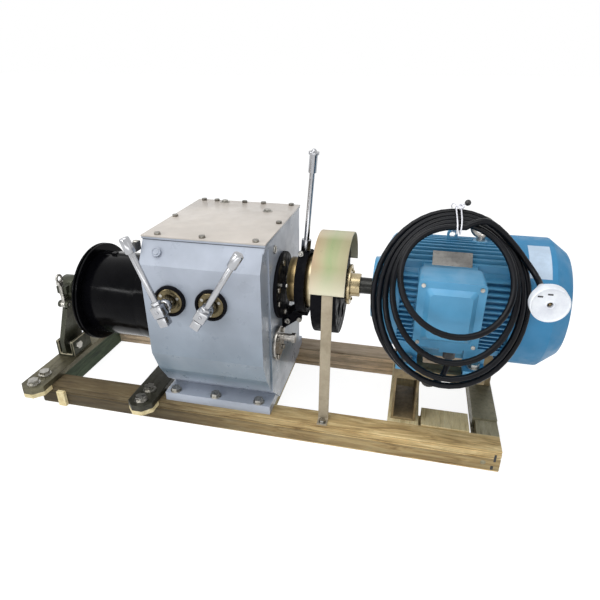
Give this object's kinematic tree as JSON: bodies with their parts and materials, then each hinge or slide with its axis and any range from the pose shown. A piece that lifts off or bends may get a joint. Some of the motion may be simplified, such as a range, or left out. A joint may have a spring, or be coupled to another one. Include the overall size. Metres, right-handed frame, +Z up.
{
  "type": "electric winch",
  "caption": "Electric cable winch on a timber skid: motor, plate clutch with fork, spur gearbox with shift levers, drum with hinged tail bearing.",
  "frame": {"origin": "middle of the skid's underside", "axes": "+X along the shaft line from the drum to the motor, +Y away from the operator, +Z up"},
  "size_m": [1.2633, 0.5503, 0.6582],
  "materials": {
    "timber": "rough laminated timber",
    "green_timber": "timber with a worn green stain",
    "bar_steel": "olive zinc and dust on flat steel",
    "bolt_steel": "zinc plated",
    "dark_steel": "dark paint, worn at the edges",
    "bronze": "dark bronze",
    "drum_black": "glossy black paint",
    "bright_steel": "turned steel",
    "gearbox_paint": "light blue grey enamel",
    "cover_paint": "warm grey enamel",
    "gasket": "matte sheet",
    "chrome": "polished chrome",
    "black_steel": "satin black paint",
    "gold_zinc": "yellow passivated zinc",
    "guard_zinc": "pale yellow passivated zinc",
    "stand_steel": "dull olive brown paint",
    "motor_blue": "blue machine enamel",
    "fan_plastic": "moulded",
    "gland_plastic": "moulded",
    "cable_rubber": "smooth rubber sheath",
    "plug_plastic": "off-white moulding",
    "tie_plastic": "woven tape"
  },
  "bodies": {
    "skid": {"front_rail": "timber", "back_rail": "timber", "middle_crossbeams": "timber", "right_crossbeam": "timber", "packing_boards": "timber", "left_crossbeam": "green_timber", "drum_bar": "bar_steel", "gearbox_bar": "bar_steel", "beam_channel": "bar_steel", "skid_bolts": "bolt_steel", "gearbox_screws": "bolt_steel", "foot_bolts": "bolt_steel", "lid_screws": "bolt_steel", "support_pins": "bolt_steel", "arm_socket": "dark_steel", "support_arm": "dark_steel", "fork_bracket": "dark_steel", "oil_plugs": "dark_steel", "tail_bush": "bronze", "shift_collars": "bronze", "lower_cover": "bright_steel", "stator_core": "bright_steel", "lifting_eye": "bright_steel", "gearbox_housing": "gearbox_paint", "top_cover": "cover_paint", "cover_gasket": "gasket", "input_flange": "black_steel", "wheel_guard": "guard_zinc", "guard_leg": "guard_zinc", "motor_pedestal": "stand_steel", "motor_rails": "stand_steel", "motor_frame": "motor_blue", "drive_endshield": "motor_blue", "rear_endshield": "motor_blue", "fan_cowl": "motor_blue", "terminal_box": "motor_blue", "terminal_lid": "motor_blue", "cable_gland": "gland_plastic", "cable_coil": "cable_rubber", "cable_lead": "cable_rubber", "cable_tail": "cable_rubber", "cable_plug": "plug_plastic", "coil_tie": "tie_plastic"},
    "drum": {"drum_barrel": "drum_black", "drum_flange": "drum_black", "drum_shaft": "bright_steel"},
    "motor": {"clutch_wheel": "black_steel", "coupling": "bright_steel", "rotor": "bright_steel", "cooling_fan": "fan_plastic"},
    "input": {"input_shaft": "bright_steel"},
    "second": {"second_shaft": "bright_steel"},
    "third": {"third_shaft": "bright_steel"},
    "sleeve": {"sliding_sleeve": "gold_zinc"},
    "fork": {"clutch_fork": "black_steel", "clutch_lever": "chrome"},
    "left_lever": {"left_shift_lever": "chrome"},
    "right_lever": {"right_shift_lever": "chrome"},
    "latch": {"swing_bolt": "bolt_steel"},
    "cap": {"bearing_cap": "dark_steel"}
  },
  "joints": [
    {"name": "motor_spin", "type": "hinge", "parent": "skid", "child": "motor", "pos_m": [0.4, -0.042, 0.355], "axis": [1, 0, 0], "continuous": true},
    {"name": "input_spin", "type": "hinge", "parent": "skid", "child": "input", "pos_m": [0.1, -0.042, 0.355], "axis": [1, 0, 0], "continuous": true},
    {"name": "second_spin", "type": "hinge", "parent": "skid", "child": "second", "pos_m": [0, -0.118, 0.318], "axis": [1, 0, 0], "continuous": true},
    {"name": "third_spin", "type": "hinge", "parent": "skid", "child": "third", "pos_m": [0, -0.102, 0.229], "axis": [1, 0, 0], "continuous": true},
    {"name": "drum_spin", "type": "hinge", "parent": "skid", "child": "drum", "pos_m": [-0.37, -0.042, 0.272], "axis": [1, 0, 0], "continuous": true},
    {"name": "clutch_lever_swing", "type": "hinge", "parent": "skid", "child": "fork", "pos_m": [0.092, -0.042, 0.272], "axis": [0, 1, 0], "range_deg": [-6, 0]},
    {"name": "sleeve_slide", "type": "slide", "parent": "input", "child": "sleeve", "axis": [1, 0, 0], "range_m": [-0.0087, 0]},
    {"name": "left_lever_swing", "type": "hinge", "parent": "skid", "child": "left_lever", "pos_m": [-0.152, -0.25, 0.36], "axis": [0, 1, 0], "range_deg": [-12, 12]},
    {"name": "right_lever_swing", "type": "hinge", "parent": "skid", "child": "right_lever", "pos_m": [-0.058, -0.25, 0.36], "axis": [0, 1, 0], "range_deg": [-12, 12]},
    {"name": "latch_swing", "type": "hinge", "parent": "skid", "child": "latch", "pos_m": [-0.54, -0.086, 0.242], "axis": [1, 0, 0], "range_deg": [0, 100]},
    {"name": "cap_swing", "type": "hinge", "parent": "skid", "child": "cap", "pos_m": [-0.54, 0.002, 0.272], "axis": [-1, 0, 0], "range_deg": [0, 40]}
  ],
  "couplings": [
    {"joint": "input_spin", "follows": "motor_spin", "ratio": 1},
    {"joint": "second_spin", "follows": "motor_spin", "ratio": -0.25926},
    {"joint": "third_spin", "follows": "motor_spin", "ratio": 0.059129},
    {"joint": "drum_spin", "follows": "motor_spin", "ratio": -0.020695},
    {"joint": "sleeve_slide", "follows": "clutch_lever_swing", "m_per_rad": 0.083},
    {"joint": "cap_swing", "follows": "latch_swing", "ratio": 0.4}
  ]
}
